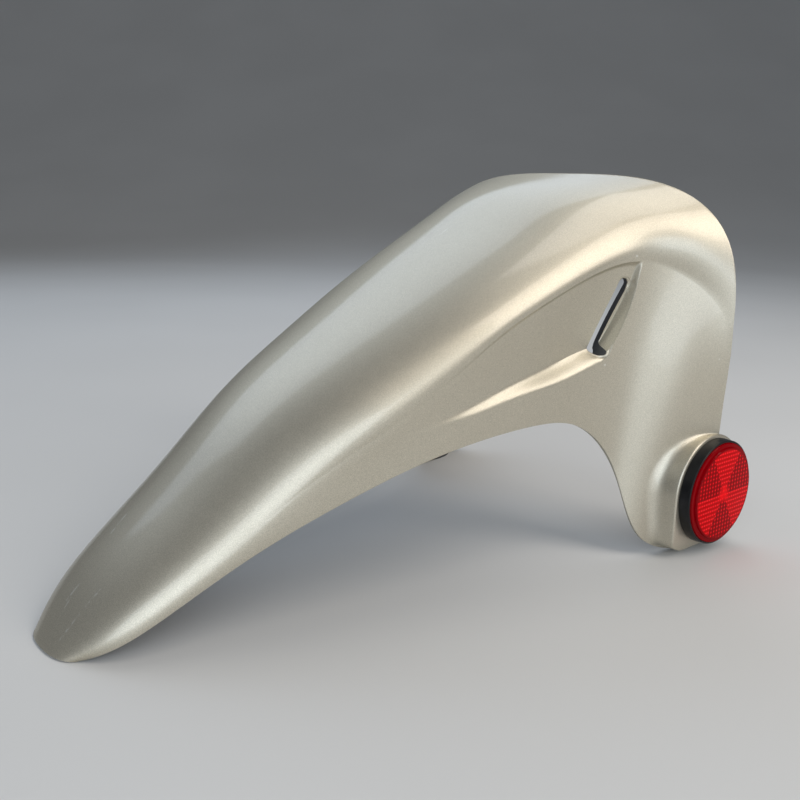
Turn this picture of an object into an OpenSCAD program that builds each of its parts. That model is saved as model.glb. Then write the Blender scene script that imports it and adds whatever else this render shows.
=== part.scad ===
// Front fender of a motorcycle, lying as it rests on a bench: on its nose tip and on its two side lobes.
// The nose points to -X, the rear to +X, the rider's left hand side to -Y, and +Z is up.
// One moulded shell is lofted through stations from the nose to the rear edge. The plane y = 0 is its mirror.

/* [Shell] */
// Length from the nose tip to the rear edge at the foot of a lobe
fender_length = 370; // [340:1:400]
// Width over the hoop at its rear edge
hoop_width = 250; // [230:1:270]
// Height of the crown at its rear edge
crown_height = 220; // [205:1:235]
// Thickness of the moulded wall
wall = 3; // [2.5:0.1:3.4]
// Rounding of each lobe's lower rear corner
foot_r = 14; // [8:1:16]

/* [Scoop] */
// Depth of the recess at its rear end
scoop_depth = 9; // [7:0.5:11]
// Width of the air slot
slot_w = 6; // [5:0.5:7]

/* [Reflector] */
// Outer diameter of the reflector's base
reflector_d = 64; // [58:0.5:66]
// Thickness of the base
base_t = 7; // [6:0.5:9]
// Width of the base's raised rim round the lens
base_rim = 1.5; // [1:0.1:2.5]
// Depth of the lens pocket in the base
pocket_depth = 4; // [3:0.1:4.5]
// How far the lens flange stands out of the base
lens_proud = 1; // [0.5:0.1:2]
// Width of the lens flange round its raised disc
lens_flange = 2.5; // [2:0.1:4]
// Height of the raised disc on the lens
disc_rise = 1.6; // [0.8:0.1:2.5]
// Height of the base's rim above the floor
reflector_lift = 5; // [4:0.5:9]
// Clearance round the lens in its pocket
lens_gap = 0.1; // [0.05:0.05:0.3]

/* [Boss] */
// Width of the seat that shows round the base
seat_margin = 1.8; // [1.5:0.1:4]
// How far the seat stands out from the foot of the lobe
seat_rise = 2; // [1.5:0.1:5]
// How far the boss reaches inwards from its seat
boss_depth = 19; // [18:0.5:22]
// Depth of the boss at the back, behind the lobe's rear edge
boss_rear_depth = 7; // [6:0.5:9]
// Rounding of the seat's rim
seat_round = 0.8; // [0.5:0.1:1.2]

/* [Stud] */
// Diameter of the reflector's stud
stud_d = 5; // [4:0.5:6]
// Length of the stud behind the base
stud_l = 14; // [12:0.5:16]
// Diameter of the stud's head, which is sunk in the back of the base
stud_head_d = 10; // [9:0.5:14]
// Thickness of the stud's head
stud_head_t = 1.8; // [1:0.1:2]
// Clearance round the stud in its hole in the boss
stud_gap = 0.5; // [0.3:0.1:1]
// Clearance of the nut's thread on the stud
thread_gap = 0.05; // [0.02:0.01:0.1]
// Outer diameter of the washer
washer_d = 15; // [12:0.5:18]
// Thickness of the washer
washer_t = 1.2; // [0.8:0.1:2]
// Width of the nut across its flats
nut_af = 8; // [8:0.5:10]
// Height of the nut
nut_h = 4; // [3:0.5:5]

/* [Fixing] */
// Diameter of the moulded tower round each threaded insert
tower_d = 16; // [14:0.5:18]
// Height of each tower over the inside of the wall
tower_h = 12; // [11:0.5:15]
// Outer diameter of the threaded insert
insert_d = 9; // [8:0.5:10]
// Length of the threaded insert
insert_l = 9; // [7:0.5:10]
// Core diameter of the insert's thread
thread_core_d = 5; // [4:0.1:5.5]
// Clearance round the insert in its tower
insert_gap = 0.1; // [0.05:0.05:0.2]

/* [Hidden] */
$fn = 48;

// The loft is drawn at this length, half width and height, and its rails stretch with the driving sizes.
drawn = [370, 125, 220];
stretch = [fender_length / drawn[0], hoop_width / 2 / drawn[1], crown_height / drawn[2]];

// Rails of the loft, one value a station from the nose lip to the rear edge.
// The crown rail runs along the centre plane.
crown_x = [0, 22, 68, 108, 152, 193, 232, 268, 296, 321, 352];
crown_z = [1, 27, 62, 101, 127, 149, 170, 188, 203, 212, 220];
// The shoulder rail is the widest line of each side, and the upper lip of the scoop.
side_x = [8, 27, 80, 130, 179, 219, 258, 296, 324, 348, 357];
side_y = [21, 40, 51, 61, 69, 74, 79, 84, 93, 114, 125];
side_z = [1.8, 16, 46,82, 108, 138, 156, 172, 174, 157, 135];
// The edge rail is the lower edge: along the nose, over the wheel notch and down to the lobe's foot.
edge_x = [9, 24, 77, 130, 172, 208, 249, 281, 307, 309, 370];
edge_y = [22, 40, 50, 60, 68, 73, 78, 82, 91, 101, 118];
edge_z = [0, 8, 40, 61, 75, 82, 86, 84, 55, 1, -1];
// Fullness of the arch: 2 is an ellipse, and more is squarer.
fullness = [2, 2, 2, 2.1, 2.2, 2.1, 2.2, 2.3, 2.4, 2.7, 3.2];
last = len(crown_x) - 1;

// The scoop starts at one station and ends against its rear lip at another.
scoop_start = 3.7;
scoop_end = 7.62;
lip_run = 0.04;
// The rear lip leans forwards as it goes down, by this many stations at the ridge.
lip_lean = 0.45;
lean_power = 2.2;
lean_reach = 0.57;
lean_from = 5.4;
lean_to = 9.4;
// Height of the scoop's lower ridge, as a share of the way from the shoulder to the lower edge
ridge_start = 0.4;
ridge_mid = 0.715;
ridge_end = 0.57;
ridge_grows = 1.4;
ridge_turns = 5.8;
ridge_power = 2.75;
// Share of the depth at the shoulder's lip, and where the floor turns out to the ridge
lip_share = 0.3;
lip_width = 0.06;
floor_share = 0.84;
// How sharply the side tucks in under the shoulder
tuck = 4;

// Mesh lines: along the stations, over the arch, down the recess and down the strip below it
coarse_step = 0.25;
fine_from = 6.8;
fine_lines = [7, 7.15, 7.3, 7.45, scoop_end - 0.02, scoop_end + lip_run / 2, 7.8, 7.95, 8.1];
coarse_again = 8.3;
arch_steps = 12;
recess_lines = [lip_width, 0.25, 0.5, 0.7, floor_share, 0.92, 1];
strip_steps = 4;

// A cubic B-spline through a rail, which passes through its two ends
function rail_at(r, k) = k < 0 ? 2 * r[0] - r[1] : k > last ? 2 * r[last] - r[last - 1] : r[k];
function rail(r, s) =
    let (i = min(floor(s), last - 1), t = s - i, q = 1 - t)
    (q * q * q * rail_at(r, i - 1)
    + (3 * t * t * t - 6 * t * t + 4) * rail_at(r, i)
    + (3 * q * q * q - 6 * q * q + 4) * rail_at(r, i + 1)
    + t * t * t * rail_at(r, i + 2)) / 6;
function smooth(a) = let (c = share(a)) c * c * (3 - 2 * c);
function stretched(p) = [p[0] * stretch[0], p[1] * stretch[1], p[2] * stretch[2]];

// The upper half of a section is a superellipse from the crown to the shoulder.
function arch_point(s, a) =
    let (e = 2 / rail(fullness, s), x0 = rail(crown_x, s), z1 = rail(side_z, s))
    stretched([
        x0 + (rail(side_x, s) - x0) * (1 - cos(90 * a)),
        -rail(side_y, s) * pow(sin(90 * a), e),
        z1 + (rail(crown_z, s) - z1) * (a == 1 ? 0 : pow(cos(90 * a), e))
    ]);
// The lower half leaves the shoulder upright, tucks in under it and runs down to the edge.
function tucked(h) = 1 - pow(1 - h, tuck) * (1 + tuck * h);
function share(a) = min(1, max(0, a));
function ridge_at(s) =
    ridge_mid - (ridge_mid - ridge_start) * pow(1 - share((s - scoop_start) / ridge_grows), 2)
    - (ridge_mid - ridge_end) * pow(share((s - ridge_turns) / (scoop_end - ridge_turns)), ridge_power);
function recess_across(c) = c < lip_width
    ? lip_share * c / lip_width
    : c < floor_share
        ? lip_share + (1 - lip_share) * (c - lip_width) / (floor_share - lip_width)
        : smooth((1 - c) / (1 - floor_share));
function recess_along(s) = s < scoop_end
    ? smooth((s - scoop_start) / (scoop_end - scoop_start))
    : 1 - smooth((s - scoop_end) / lip_run * 2);
// A station line leans with the rear lip of the scoop, and stands upright away from it.
function lean(s, h) = lip_lean * pow(min(1, h / lean_reach), lean_power)
    * smooth((s - lean_from) / (scoop_end - lean_from)) * smooth((lean_to - s) / (lean_to - scoop_end));
function side_base(s, h) =
    let (x1 = rail(side_x, s), y1 = rail(side_y, s), z1 = rail(side_z, s))
    [
        x1 + (rail(edge_x, s) - x1) * h,
        -y1 + (y1 - rail(edge_y, s)) * tucked(h),
        z1 + (rail(edge_z, s) - z1) * h
    ];
function side_point(s, h, c) =
    stretched(side_base(s - lean(s, h), h)) + [0, scoop_depth * recess_across(c) * recess_along(s), 0];

station_lines = concat(
    [for (s = [0 : coarse_step : fine_from]) s],
    fine_lines,
    [for (s = [coarse_again : coarse_step : last - coarse_step / 2]) s],
    [last]
);
side_lines = concat(recess_lines, [for (k = [1 : strip_steps]) 1 + k / strip_steps]);
half_cols = arch_steps + len(side_lines);
function half_point(s, j) = j <= arch_steps
    ? arch_point(s, j / arch_steps)
    : let (c = side_lines[j - arch_steps - 1], r = ridge_at(s))
      c <= 1 ? side_point(s, c * r, c) : side_point(s, r + (1 - r) * (c - 1), 1);
// Rows run along the stations, and columns from the right edge over the crown to the left edge.
outer = [
    for (s = station_lines)
        let (half = [for (j = [0 : half_cols]) half_point(s, j)])
        [for (j = [-half_cols : half_cols]) j < 0 ? [half[-j][0], -half[-j][1], half[-j][2]] : half[j]]
];
rows = len(outer);
cols = 2 * half_cols + 1;
function unit(v) = v / norm(v);
// Direction into the wall at a mesh point
function inward(i, j) = unit(cross(
    outer[min(i + 1, rows - 1)][j] - outer[max(i - 1, 0)][j],
    outer[i][min(j + 1, cols - 1)] - outer[i][max(j - 1, 0)]
));
directions = [for (i = [0 : rows - 1]) [for (j = [0 : cols - 1]) inward(i, j)]];
function skin_points(d) = [for (i = [0 : rows - 1]) for (j = [0 : cols - 1]) outer[i][j] + d * directions[i][j]];
function grid_faces(first, flip) = [
    for (i = [0 : rows - 2]) for (j = [0 : cols - 2])
        let (a = first + i * cols + j, b = a + 1, c = b + cols, d = a + cols)
        each flip ? [[a, b, c], [a, c, d]] : [[a, c, b], [a, d, c]]
];
function rim_faces(a, b) = [
    for (k = [0 : len(a) - 2]) each [[a[k], a[k + 1], b[k + 1]], [a[k], b[k + 1], b[k]]]
];
count = rows * cols;
front_row = [for (j = [0 : cols - 1]) j];
rear_row = [for (j = [0 : cols - 1]) (rows - 1) * cols + j];
right_col = [for (i = [0 : rows - 1]) i * cols];
left_col = [for (i = [0 : rows - 1]) i * cols + cols - 1];
function lower(v) = [for (k = v) k + count];

// The wall itself: an outer skin, an inner skin and the rim between them
module skin() {
    polyhedron(
        points = concat(skin_points(0), skin_points(wall)),
        faces = concat(
            grid_faces(0, false),
            grid_faces(count, true),
            rim_faces(front_row, lower(front_row)),
            rim_faces(lower(rear_row), rear_row),
            rim_faces(lower(right_col), right_col),
            rim_faces(left_col, lower(left_col))
        )
    );
}
// All the room inside a skin that lies this deep under the outer one
module room(depth) {
    polyhedron(
        points = skin_points(depth),
        faces = concat(
            grid_faces(0, false),
            [for (i = [0 : rows - 2]) each [
                [left_col[i], right_col[i + 1], right_col[i]],
                [left_col[i], left_col[i + 1], right_col[i + 1]]
            ]],
            end_faces(front_row, false),
            end_faces(rear_row, true)
        )
    );
}
// Closes an end between its left and its right half
function end_faces(row, flip) = [
    for (j = [0 : half_cols - 1])
        let (a = row[j], b = row[j + 1], c = row[cols - 2 - j], d = row[cols - 1 - j])
        each j < half_cols - 1
            ? (flip ? [[a, c, b], [a, d, c]] : [[a, b, c], [a, c, d]])
            : (flip ? [[a, d, b]] : [[a, b, d]])
];

// Places that the pieces share, on the left side
base_r = reflector_d / 2;
lens_r = base_r - base_rim - lens_gap;
disc_r = lens_r - lens_flange;
seat_r = base_r + seat_margin;
rear_foot = side_base(last, 1);
seat_y = -rear_foot[1] * stretch[1] + seat_rise;
// How far the reflector's middle lies ahead of the lobe's rear foot
reflector_ahead = 12;
reflector_x = rear_foot[0] * stretch[0] - reflector_ahead;
reflector_z = reflector_lift + base_r;
// How far a cut reaches past the face that it opens
overcut = 1;
// The bevel of the boss's toe, as shares of the seat's radius
toe_share = 0.9;
toe_in = 0.75;
// Station of the fixing towers, and how far each one is below the shoulder: the lower one and the upper one
tower_station = 9.35;
tower_shares = [0.46, 0.22];
tower_feet = [for (h = tower_shares) side_point(tower_station, h, 0)];
// How much wider a tower is at its root, for the draft, and how deep that root lies in the wall
tower_flare = 2;
tower_root = 2 * tower_h;
// How far the slot's middle lies ahead of the rear lip, and how low its two ends are
slot_ahead = [0.13, 0.07];
slot_shares = [0.12, 0.51];
slot_reach = 4 * wall;
slot_feet = [for (k = [0, 1]) side_point(scoop_end - slot_ahead[k], slot_shares[k], slot_shares[k] / ridge_end)];

// Turns what is drawn with Z outwards so that Z points out of the rider's left side
module on_left(x, y, z) {
    translate([x, -y, z]) rotate([90, 0, 0]) children();
}
module on_side(right) {
    mirror([0, right ? 1 : 0, 0]) children();
}
// The boss's outline is round, but its front side runs straight down to a bevelled toe.
module boss_outline(r) {
    circle(r = r);
    polygon([[0, 0], [-r, 0], [-r, -toe_share * r], [-toe_in * r, -r], [0, -r]]);
}
// The front of the boss is deep, because the lobe's wall lies further in there.
module boss_body() {
    on_left(reflector_x, seat_y, reflector_z) hull() {
        translate([0, 0, -boss_depth]) linear_extrude(seat_round) intersection() {
            boss_outline(seat_r);
            translate([-seat_r, -seat_r, 0]) square([seat_r, 2 * seat_r]);
        }
        translate([0, 0, -boss_rear_depth]) linear_extrude(boss_rear_depth - seat_round) boss_outline(seat_r);
        translate([0, 0, -seat_round]) linear_extrude(seat_round) boss_outline(seat_r - seat_round);
    }
}
module boss_hollow() {
    on_left(reflector_x, seat_y - wall, reflector_z) hull()
        translate([0, 0, -2 * boss_depth]) linear_extrude(2 * boss_depth) boss_outline(seat_r - wall);
}
module stud_hole() {
    on_left(reflector_x, seat_y, reflector_z)
        translate([0, 0, -wall - overcut]) cylinder(d = stud_d + 2 * stud_gap, h = wall + 2 * overcut);
}
// Places what is drawn upwards from a tower's mouth, which faces the wheel
module at_tower(k) {
    on_left(tower_feet[k][0], -tower_feet[k][1] - wall - tower_h, tower_feet[k][2]) children();
}
module tower(k) {
    at_tower(k) hull() {
        cylinder(d = tower_d, h = wall, $fn = 32);
        cylinder(d = tower_d + tower_flare, h = tower_root, $fn = 32);
    }
}
module tower_hole(k) {
    at_tower(k) translate([0, 0, -overcut]) cylinder(d = insert_d + 2 * insert_gap, h = insert_l + overcut);
}
// The slot follows the recess floor beside the rear lip.
module slot_cut() {
    hull() for (p = slot_feet)
        translate(p + [0, -wall, 0]) rotate([-90, 0, 0]) cylinder(d = slot_w, h = slot_reach, $fn = 24);
}

// What rounds off the lower rear corner of both lobes
module foot_round() {
    translate([rear_foot[0] * stretch[0] - foot_r, 0, foot_r]) rotate([90, 0, 0])
        linear_extrude(2 * hoop_width, center = true) difference() {
            translate([0, -2 * foot_r]) square(2 * foot_r);
            circle(r = foot_r);
        }
}

module fender_shell() {
    color([0.78, 0.76, 0.7]) difference() {
        union() {
            difference() {
                skin();
                foot_round();
            }
            for (right = [false, true]) on_side(right) {
                difference() {
                    boss_body();
                    room(wall);
                }
                intersection() {
                    union() {
                        tower(0);
                        tower(1);
                    }
                    room(wall / 2);
                }
            }
        }
        for (right = [false, true]) on_side(right) {
            boss_hollow();
            stud_hole();
            tower_hole(0);
            tower_hole(1);
            slot_cut();
        }
        // The shell's feet are cut flat where they rest.
        translate([0, -hoop_width, -hoop_width]) cube([2 * fender_length, 2 * hoop_width, hoop_width]);
    }
}
module reflector_base(right) {
    color([0.06, 0.06, 0.07]) on_side(right) on_left(reflector_x, seat_y, reflector_z) difference() {
        cylinder(r = base_r, h = base_t);
        translate([0, 0, base_t - pocket_depth]) cylinder(r = base_r - base_rim, h = pocket_depth + overcut);
        translate([0, 0, -overcut]) cylinder(d = stud_head_d + 2 * lens_gap, h = stud_head_t + overcut);
    }
}
module reflector_lens(right) {
    color([0.85, 0.05, 0.07]) on_side(right)
        on_left(reflector_x, seat_y + base_t - pocket_depth, reflector_z) union() {
            cylinder(r = lens_r, h = pocket_depth + lens_proud);
            cylinder(r = disc_r, h = pocket_depth + lens_proud + disc_rise);
        }
}
module reflector_stud(right) {
    color([0.75, 0.76, 0.78]) on_side(right) on_left(reflector_x, seat_y, reflector_z) union() {
        cylinder(d = stud_head_d, h = stud_head_t);
        translate([0, 0, -stud_l]) cylinder(d = stud_d, h = stud_l + stud_head_t);
    }
}
module reflector_washer(right) {
    color([0.7, 0.71, 0.73]) on_side(right)
        on_left(reflector_x, seat_y - wall - washer_t, reflector_z) difference() {
            cylinder(d = washer_d, h = washer_t);
            translate([0, 0, -overcut]) cylinder(d = stud_d + 2 * stud_gap, h = washer_t + 2 * overcut);
        }
}
module reflector_nut(right) {
    color([0.7, 0.71, 0.73]) on_side(right)
        on_left(reflector_x, seat_y - wall - washer_t - nut_h, reflector_z) difference() {
            cylinder(d = nut_af / cos(30), h = nut_h, $fn = 6);
            translate([0, 0, -overcut]) cylinder(d = stud_d + 2 * thread_gap, h = nut_h + 2 * overcut);
        }
}
module fixing_insert(right, k) {
    color([0.8, 0.65, 0.3]) on_side(right) at_tower(k) difference() {
        cylinder(d = insert_d, h = insert_l);
        translate([0, 0, -overcut]) cylinder(d = thread_core_d, h = insert_l + 2 * overcut);
    }
}

// The origin lies on the floor, in the middle of the whole part's length and width.
half_length = (reflector_x + seat_r) / 2;
module placed() {
    translate([-half_length, 0, 0]) children();
}
placed() fender_shell();
placed() reflector_base(false);  // reflector_base_left
placed() reflector_base(true);  // reflector_base_right
placed() reflector_lens(false);  // reflector_lens_left
placed() reflector_lens(true);  // reflector_lens_right
placed() reflector_stud(false);  // reflector_stud_left
placed() reflector_stud(true);  // reflector_stud_right
placed() reflector_washer(false);  // reflector_washer_left
placed() reflector_washer(true);  // reflector_washer_right
placed() reflector_nut(false);  // reflector_nut_left
placed() reflector_nut(true);  // reflector_nut_right
placed() fixing_insert(false, 1);  // fixing_insert_left_upper
placed() fixing_insert(false, 0);  // fixing_insert_left_lower
placed() fixing_insert(true, 1);  // fixing_insert_right_upper
placed() fixing_insert(true, 0);  // fixing_insert_right_lower
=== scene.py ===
# %% [markdown]
# # Motorcycle fender
# A front fender is one moulded shell that keeps a tyre's spray off the rider. It could be bent from a sheet
# and thickened, but its sides, scoops and lobes flow into each other. So it is laid over a loft of stations
# and rails, the same ones that shaped the solid model, and every piece then lands where its solid is.

# %% Load the frame
import math

import bpy
from mathutils import Matrix, Vector


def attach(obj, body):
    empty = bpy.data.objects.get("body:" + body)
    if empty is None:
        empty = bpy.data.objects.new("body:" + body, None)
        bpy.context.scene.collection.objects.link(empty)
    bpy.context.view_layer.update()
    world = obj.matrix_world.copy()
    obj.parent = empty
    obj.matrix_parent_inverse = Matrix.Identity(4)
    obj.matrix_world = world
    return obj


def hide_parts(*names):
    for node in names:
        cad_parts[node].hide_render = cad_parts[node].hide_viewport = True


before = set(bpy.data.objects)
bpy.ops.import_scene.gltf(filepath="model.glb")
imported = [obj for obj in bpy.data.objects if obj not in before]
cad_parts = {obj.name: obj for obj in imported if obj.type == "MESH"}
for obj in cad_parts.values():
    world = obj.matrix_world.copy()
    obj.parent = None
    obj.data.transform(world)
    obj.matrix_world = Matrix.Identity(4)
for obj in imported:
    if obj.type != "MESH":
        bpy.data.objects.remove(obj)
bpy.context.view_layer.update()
print("solids", len(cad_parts))

# %% [markdown]
# ## The rails of the loft
# A loft needs lines to follow. Each rail has one value a station, in millimetres, from the nose lip to the
# rear edge. The crown runs along the middle, the shoulder is the widest line of a side, and the edge is the
# side's lower border. Eleven stations are few enough to change by hand and enough for the flowing form.

# %% Rails
CROWN_X = [0, 22, 68, 108, 152, 193, 232, 268, 296, 321, 352]
CROWN_Z = [1, 27, 62, 101, 127, 149, 170, 188, 203, 212, 220]
SIDE_X = [8, 27, 80, 130, 179, 219, 258, 296, 324, 348, 357]
SIDE_Y = [21, 40, 51, 61, 69, 74, 79, 84, 93, 114, 125]
SIDE_Z = [1.8, 16, 46, 82, 108, 138, 156, 172, 174, 157, 135]
EDGE_X = [9, 24, 77, 130, 172, 208, 249, 281, 307, 309, 370]
EDGE_Y = [22, 40, 50, 60, 68, 73, 78, 82, 91, 101, 118]
EDGE_Z = [0, 8, 40, 61, 75, 82, 86, 84, 55, 1, -1]
FULLNESS = [2, 2, 2, 2.1, 2.2, 2.1, 2.2, 2.3, 2.4, 2.7, 3.2]
LAST = len(CROWN_X) - 1
WALL = 3.0
HALF_LENGTH = 195.9
print("stations", LAST + 1, "half length", HALF_LENGTH, "mm")


# %% [markdown]
# Straight lines between the stations would show as kinks in a glossy paint. A cubic B-spline passes close to
# its values and bends evenly, so reflections run along it without a break.

# %% Curve through a rail
def rail(r, s):
    """A uniform cubic B-spline through one rail, which passes through the rail's two ends."""
    i = min(int(s), LAST - 1)
    t = s - i
    q = 1 - t
    before = r[i - 1] if i else 2 * r[0] - r[1]
    after = r[i + 2] if i + 2 <= LAST else 2 * r[LAST] - r[LAST - 1]
    here = (3 * t**3 - 6 * t * t + 4) * r[i]
    there = (3 * q**3 - 6 * q * q + 4) * r[i + 1]
    return (q**3 * before + here + there + t**3 * after) / 6


def smooth(a):
    """Eases from 0 to 1 and holds its ends."""
    a = min(1.0, max(0.0, a))
    return a * a * (3 - 2 * a)


print("crown height half way", round(rail(CROWN_Z, LAST / 2), 1), "mm")


# %% [markdown]
# ## From rails to a surface
# A section across the fender is an arch on two sides. The arch is a superellipse, which a single number makes
# rounder or more boxy. Below the shoulder the side tucks in a little and runs straight down to its edge.

# %% Arch and plain side
def quarter_arch(s, a, fullness, side_rails):
    """A superellipse from the crown (a = 0) to the given side rails (a = 1)."""
    e = 2 / fullness
    x0, z1 = rail(CROWN_X, s), rail(side_rails[2], s)
    sin_a, cos_a = math.sin(a * math.pi / 2), math.cos(a * math.pi / 2)
    return Vector((
        x0 + (rail(side_rails[0], s) - x0) * (1 - cos_a),
        -rail(side_rails[1], s) * sin_a**e,
        z1 + (rail(CROWN_Z, s) - z1) * max(0.0, cos_a) ** e,
    ))


def plain_side(s, h):
    """The side below the shoulder, from the shoulder (h = 0) to the edge (h = 1)."""
    x1, y1, z1 = rail(SIDE_X, s), rail(SIDE_Y, s), rail(SIDE_Z, s)
    tucked = 1 - (1 - h) ** 4 * (1 + 4 * h)
    return Vector((
        x1 + (rail(EDGE_X, s) - x1) * h,
        -y1 + (y1 - rail(EDGE_Y, s)) * tucked,
        z1 + (rail(EDGE_Z, s) - z1) * h,
    ))


print("shoulder at the rear", [round(v, 1) for v in plain_side(LAST, 0)])

# %% [markdown]
# Near the nose tip the real section is one arch from the crown right down to the edge, with no side of its
# own. It could be a separate cap, but a cap would show its seam. So one form fades into the other.

# %% Nose
NOSE_FULLNESS = 2.3
NOSE_END = 1.5
NOSE_FADE = 2.2


def nose_share(s):
    return 1 - smooth((s - NOSE_END) / NOSE_FADE)


def shoulder_place(s):
    """Where the shoulder lies on the nose's single arch, as a share of it."""
    z0, z1, z2 = rail(CROWN_Z, s), rail(SIDE_Z, s), rail(EDGE_Z, s)
    height = min(0.8, max(0.05, (z1 - z2) / (z0 - z2)))
    return math.acos(height ** (NOSE_FULLNESS / 2)) * 2 / math.pi


def nose_arch(s, g):
    return quarter_arch(s, g, NOSE_FULLNESS, (EDGE_X, EDGE_Y, EDGE_Z))


print("nose share at the first stations", [round(nose_share(s), 2) for s in range(5)])

# %% [markdown]
# The lobe's flared wall turns at a soft upright edge into a narrow band along its rear rim. Another rail
# could carry that edge, but a gentle push outwards at one station does the same with two numbers.

# %% Rear band
BAND_START, BAND_STATION = 7.7, 9.05
BAND_PUSH = Vector((-2.2, -3.0, 0))
BAND_TOP = 0.45


def band_tent(t):
    """Grows up to the band's edge and then falls to the rear rim."""
    if t < BAND_STATION:
        return smooth((t - BAND_START) / (BAND_STATION - BAND_START))
    return max(0.0, (LAST - t) / (LAST - BAND_STATION))


def band_push(s):
    """The tent's mean over a short stretch, which rounds its tip, and none of it at the rim."""
    total = sum(band_tent(s + k * 0.1) for k in (-2, -1, 0, 1, 2))
    return total / 5 * smooth((LAST - s) / 0.25)


print("push at the band's edge", round(band_push(BAND_STATION), 2))


# %% Arch and side of every station
def arch(s, a):
    """The outside above the shoulder, from the crown (a = 0) to the shoulder (a = 1)."""
    p = quarter_arch(s, a, rail(FULLNESS, s), (SIDE_X, SIDE_Y, SIDE_Z))
    if nose_share(s):
        p = p.lerp(nose_arch(s, a * shoulder_place(s)), nose_share(s))
    return p


def side(s, h):
    """The outside below the shoulder, without its scoop."""
    p = plain_side(s, h)
    if nose_share(s):
        g = shoulder_place(s)
        p = p.lerp(nose_arch(s, g + (1 - g) * h), nose_share(s))
    return p + BAND_PUSH * band_push(s) * smooth(h / BAND_TOP)


print("widest at the rear", round(-2 * arch(LAST, 1).y, 1), "mm")

# %% [markdown]
# ## The scoop
# A scoop is pressed into each side to lead air to the slot at its rear end. It could be cut with a boolean,
# but its floor grows out of the side without an edge in front. So the side's own points are moved inwards:
# softly from the front and from the lower ridge, and at once at the upper lip and the rear lip.

# %% Where the scoop lies
SCOOP_START, SCOOP_TURN, SCOOP_END, SCOOP_DEPTH = 3.7, 5.8, 7.62, 9.0
RIDGE_START, RIDGE_MID, RIDGE_END = 0.4, 0.715, 0.57
LEAN, LEAN_FROM, LEAN_TO = 0.45, 5.4, 9.4


def ridge(s):
    """How far down the side the scoop's lower ridge runs, as a share."""
    grown = min(1.0, max(0.0, (s - SCOOP_START) / 1.4))
    turned = min(1.0, max(0.0, (s - SCOOP_TURN) / (SCOOP_END - SCOOP_TURN)))
    start = (RIDGE_MID - RIDGE_START) * (1 - grown) ** 2
    return RIDGE_MID - start - (RIDGE_MID - RIDGE_END) * turned**2.75


def lean(s, h):
    """How far the rear lip leans forwards as it goes down, in stations."""
    grown = smooth((s - LEAN_FROM) / (SCOOP_END - LEAN_FROM))
    gone = smooth((LEAN_TO - s) / (LEAN_TO - SCOOP_END))
    return LEAN * min(1.0, h / RIDGE_END) ** 2.2 * grown * gone


print("ridge", [round(ridge(s), 2) for s in range(4, 9)], "lean", round(lean(SCOOP_END, RIDGE_END), 2))

# %% Depth of the scoop
LIP_SHARE, FLOOR_SHARE = 0.06, 0.84
LIP_DEPTH = 0.3


def across(c):
    """Share of the scoop's depth from its upper lip (0) to its lower ridge (1)."""
    if c < LIP_SHARE:
        return LIP_DEPTH * math.sin(c / LIP_SHARE * math.pi / 2)
    if c < FLOOR_SHARE:
        return LIP_DEPTH + (1 - LIP_DEPTH) * (1 - (1 - (c - LIP_SHARE) / (FLOOR_SHARE - LIP_SHARE)) ** 1.5)
    return smooth((1 - c) / (1 - FLOOR_SHARE))


def along(s, lip, run):
    """Share of the scoop's depth from its start to its rear lip, which is run stations long."""
    if s < lip:
        return smooth((s - SCOOP_START) / (SCOOP_END - SCOOP_START))
    return 1 - smooth((s - lip) / run)


OUTER_LIP, OUTER_RUN = SCOOP_END - 0.01, 0.045


def scooped(s, c, lip=OUTER_LIP, run=OUTER_RUN):
    """A point of the side at c, where 0 is the shoulder, 1 the ridge and 2 the lower edge."""
    r = ridge(s)
    h = c * r if c <= 1 else r + (1 - r) * (c - 1)
    x, y, z = side(s - lean(s, h), h)
    return (x, y + SCOOP_DEPTH * across(min(c, 1.0)) * along(s, lip, run), z)


print("scoop depths down the side", [round(SCOOP_DEPTH * across(k / 5), 1) for k in range(6)], "mm")


# %% [markdown]
# Bosses, slots and towers have to meet the wall wherever they stand. Blender could shrink-wrap them, but the
# rails already say where the wall is, so a search along the stations gives its place at any x and z.

# %% Where the wall is
def wall_at(x, z):
    """The side's y at a place on it, found from the rails, and None behind the rear edge."""
    lo, hi = 5.0, float(LAST)

    def at(s):
        z1 = rail(SIDE_Z, s)
        h = (z1 - z) / (z1 - rail(EDGE_Z, s))
        return side(s, h)[0] - x, h

    if at(hi)[0] < 0:
        return None
    for _ in range(40):
        mid = (lo + hi) / 2
        if at(mid)[0] < 0:
            lo = mid
        else:
            hi = mid
    h = at(hi)[1]
    s = hi
    for _ in range(20):
        s = hi + lean(s, h)
    r = ridge(s)
    return scooped(s, h / r if h <= r else 1 + (h - r) / (1 - r))[1]


print("wall at the boss", round(wall_at(340, 50), 1), "mm")


# %% [markdown]
# ## Laying two grids on the loft
# The real wall is 3 mm of plastic, painted outside and bare inside. A Solidify modifier could thicken one
# skin, but the inside runs past the scoop's rear lip in its own way. So one grid is the outside and another
# the inside. Grid lines stand close together where the lips turn, and wide where the form is calm.

# %% Grid lines
def lines(*spans):
    """Evenly spaced lines: each span is a start, an end and a step."""
    out = []
    for a, b, step in spans:
        n = max(1, round((b - a) / step))
        out += [a + (b - a) * k / n for k in range(n)]
    return out + [spans[-1][1]]


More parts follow.
